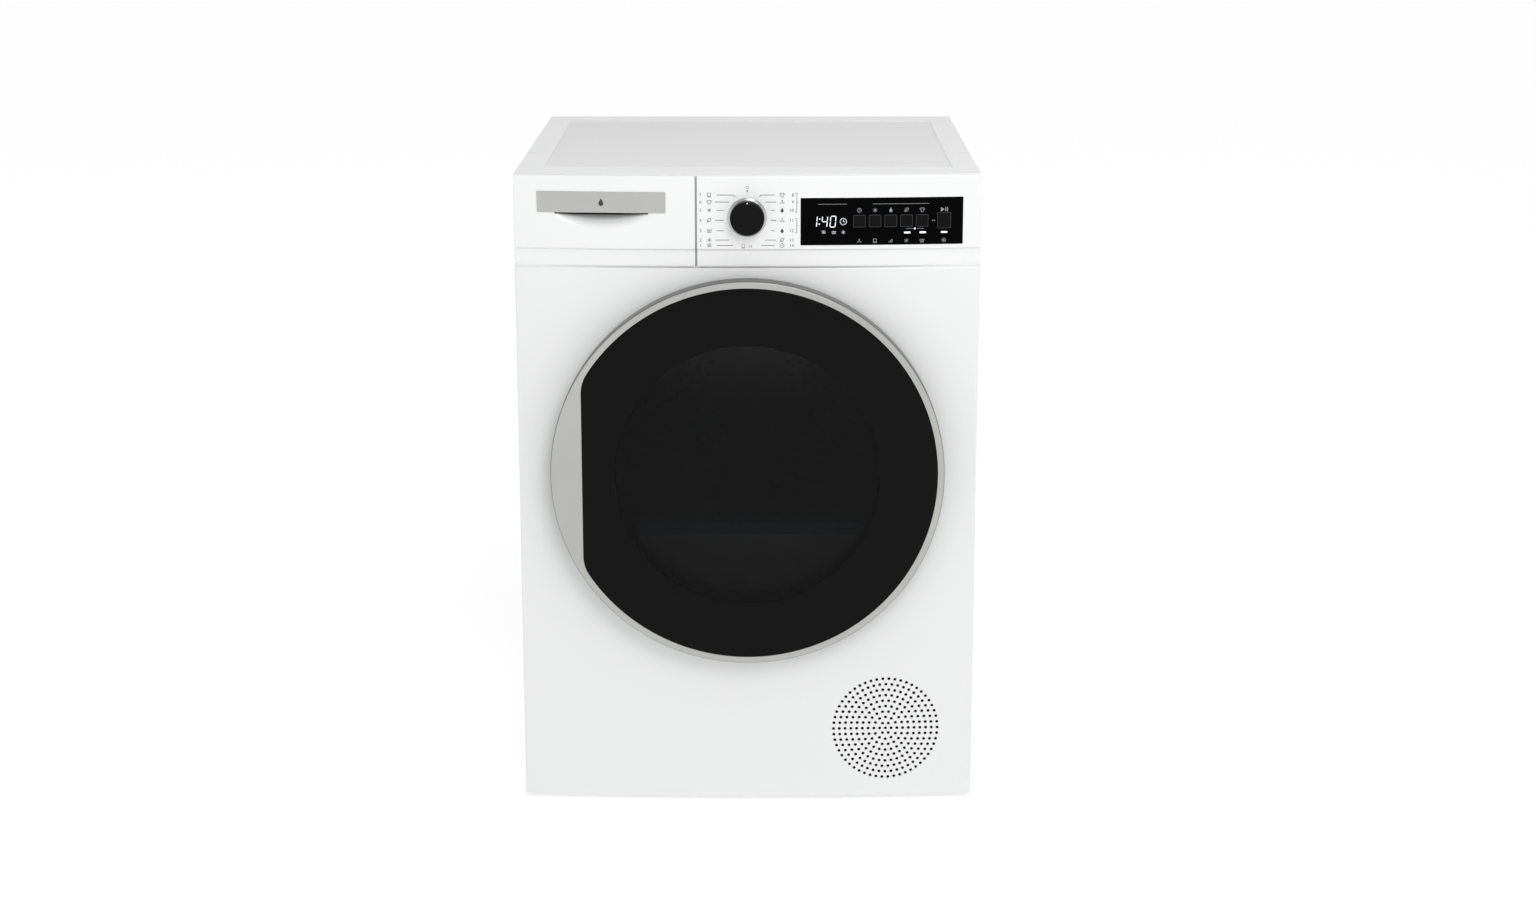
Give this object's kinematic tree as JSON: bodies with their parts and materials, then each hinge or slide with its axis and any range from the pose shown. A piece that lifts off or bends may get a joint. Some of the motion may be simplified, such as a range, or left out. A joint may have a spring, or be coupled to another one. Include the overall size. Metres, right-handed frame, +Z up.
{
  "type": "front-loading clothes dryer",
  "caption": "Freestanding heat-pump tumble dryer with a round glass door, water tank drawer, program knob, black display strip and a round air grille low on the front.",
  "frame": {"origin": "on the floor, under the middle of the overall box", "axes": "+Z up, -Y out of the front (the door's side), +X to the right seen from the front"},
  "size_m": [0.598, 0.6459, 0.85],
  "materials": {
    "cabinet_paint": "white enamel, fine grain",
    "rear_zinc": "bare galvanised sheet",
    "cover_plastic": "white, smooth",
    "worktop_board": "white laminate",
    "window_black": "polished black",
    "board_green": "lacquered circuit board",
    "inner_grey": "moulded grey",
    "port_steel": "galvanised, painted grey",
    "felt": "wool felt",
    "bronze": "sintered",
    "black_rubber": "ribbed",
    "motor_iron": "laminated stack, grey lacquer",
    "compressor_black": "black paint",
    "fins": "plain fins",
    "copper": "drawn copper tube",
    "black_plastic": "fine grain",
    "latch_plastic": "moulded white",
    "zinc_cast": "die cast, satin",
    "screw_zinc": "bright zinc",
    "rim_grey": "dark grey, satin",
    "silver_trim": "turned finish",
    "door_black_glass": "tinted, polished",
    "door_plastic": "charcoal, fine grain",
    "bowl_glass": "clear, polished",
    "seal_rubber": "grey rubber",
    "tank_plastic": "translucent white",
    "knob_black": "black cap on a silver skirt",
    "filter_plastic": "blue grey, with fine mesh",
    "drum_steel": "galvanised, bright",
    "lifter_plastic": "moulded grey",
    "rotor_steel": "machined",
    "impeller_plastic": "moulded black"
  },
  "bodies": {
    "cabinet": {"base_tray": "inner_grey", "side_panel_left": "cabinet_paint", "side_panel_right": "cabinet_paint", "rear_panel": "rear_zinc", "rear_duct_cover": "rear_zinc", "front_panel": "cabinet_paint", "vent_grille": "cabinet_paint", "worktop_frame": "cover_plastic", "worktop_panel": "worktop_board", "control_fascia": "cover_plastic", "display_window": "window_black", "control_board": "board_green", "tank_housing": "inner_grey", "front_bulkhead": "inner_grey", "filter_housing": "inner_grey", "felt_seals": "felt", "rear_bulkhead": "port_steel", "drum_bearing": "bronze", "drive_belt": "black_rubber", "drive_motor": "motor_iron", "fan_housing": "inner_grey", "heat_exchangers": "fins", "heat_exchanger_cover": "inner_grey", "compressor": "compressor_black", "refrigerant_pipes": "copper", "condensate_pump": "black_plastic", "drain_hose": "black_rubber", "drain_spigot": "black_plastic", "mains_inlet": "black_plastic", "door_latch": "latch_plastic", "hinge_bracket": "zinc_cast", "cabinet_screws": "screw_zinc", "rear_feet": "black_plastic"},
    "door": {"door_rim": "rim_grey", "door_trim_ring": "silver_trim", "door_glass": "door_black_glass", "door_inner_frame": "door_plastic", "door_window": "bowl_glass", "door_seal": "seal_rubber", "door_hinge_leaf": "zinc_cast"},
    "tank": {"tank_front": "cover_plastic", "tank_handle_plate": "silver_trim", "tank_body": "tank_plastic"},
    "knob": {"program_knob": "knob_black"},
    "delay_button": {"delay_button": "window_black"},
    "timer_button": {"timer_button": "window_black"},
    "level_button": {"level_button": "window_black"},
    "delicate_button": {"delicate_button": "window_black"},
    "crease_button": {"crease_button": "window_black"},
    "start_button": {"start_button": "window_black"},
    "lint_filter": {"lint_filter": "filter_plastic"},
    "drum": {"drum_shell": "drum_steel", "drum_back": "drum_steel", "drum_lifters": "lifter_plastic"},
    "rotor": {"motor_rotor": "rotor_steel", "fan_impeller": "impeller_plastic"},
    "roller_left": {"roller_left": "black_rubber"},
    "roller_right": {"roller_right": "black_rubber"},
    "foot_front_left": {"foot_front_left": "black_plastic"},
    "foot_front_right": {"foot_front_right": "black_plastic"}
  },
  "joints": [
    {"name": "door_hinge", "type": "hinge", "parent": "cabinet", "child": "door", "pos_m": [0.241, -0.304, 0.462], "axis": [0, 0, 1], "range_deg": [0, 140]},
    {"name": "tank_slide", "type": "slide", "parent": "cabinet", "child": "tank", "axis": [0, -1, 0], "range_m": [0, 0.4]},
    {"name": "knob_turn", "type": "hinge", "parent": "cabinet", "child": "knob", "pos_m": [0, -0.3, 0.796], "axis": [0, 1, 0], "continuous": true},
    {"name": "delay_button_press", "type": "slide", "parent": "cabinet", "child": "delay_button", "axis": [0, 1, 0], "range_m": [0, 0.0012], "stiffness_N_per_m": 900, "springref_m": -0.001},
    {"name": "timer_button_press", "type": "slide", "parent": "cabinet", "child": "timer_button", "axis": [0, 1, 0], "range_m": [0, 0.0012], "stiffness_N_per_m": 900, "springref_m": -0.001},
    {"name": "level_button_press", "type": "slide", "parent": "cabinet", "child": "level_button", "axis": [0, 1, 0], "range_m": [0, 0.0012], "stiffness_N_per_m": 900, "springref_m": -0.001},
    {"name": "delicate_button_press", "type": "slide", "parent": "cabinet", "child": "delicate_button", "axis": [0, 1, 0], "range_m": [0, 0.0012], "stiffness_N_per_m": 900, "springref_m": -0.001},
    {"name": "crease_button_press", "type": "slide", "parent": "cabinet", "child": "crease_button", "axis": [0, 1, 0], "range_m": [0, 0.0012], "stiffness_N_per_m": 900, "springref_m": -0.001},
    {"name": "start_button_press", "type": "slide", "parent": "cabinet", "child": "start_button", "axis": [0, 1, 0], "range_m": [0, 0.0012], "stiffness_N_per_m": 900, "springref_m": -0.001},
    {"name": "filter_lift", "type": "slide", "parent": "cabinet", "child": "lint_filter", "axis": [0, 0, 1], "range_m": [0, 0.15]},
    {"name": "drum_spin", "type": "hinge", "parent": "cabinet", "child": "drum", "pos_m": [0, 0.03, 0.46], "axis": [0, 1, 0], "continuous": true},
    {"name": "rotor_spin", "type": "hinge", "parent": "cabinet", "child": "rotor", "pos_m": [0.13, 0.1, 0.115], "axis": [0, 1, 0], "continuous": true},
    {"name": "roller_left_spin", "type": "hinge", "parent": "cabinet", "child": "roller_left", "pos_m": [-0.18304, -0.172, 0.22572], "axis": [0, 1, 0], "continuous": true},
    {"name": "roller_right_spin", "type": "hinge", "parent": "cabinet", "child": "roller_right", "pos_m": [0.18304, -0.172, 0.22572], "axis": [0, 1, 0], "continuous": true},
    {"name": "foot_front_left_screw", "type": "slide", "parent": "cabinet", "child": "foot_front_left", "axis": [0, 0, -1], "range_m": [0, 0.012]},
    {"name": "foot_front_right_screw", "type": "slide", "parent": "cabinet", "child": "foot_front_right", "axis": [0, 0, -1], "range_m": [0, 0.012]}
  ],
  "couplings": [
    {"joint": "rotor_spin", "follows": "drum_spin", "ratio": 25.47},
    {"joint": "roller_left_spin", "follows": "drum_spin", "ratio": -12.5},
    {"joint": "roller_right_spin", "follows": "drum_spin", "ratio": -12.5}
  ]
}
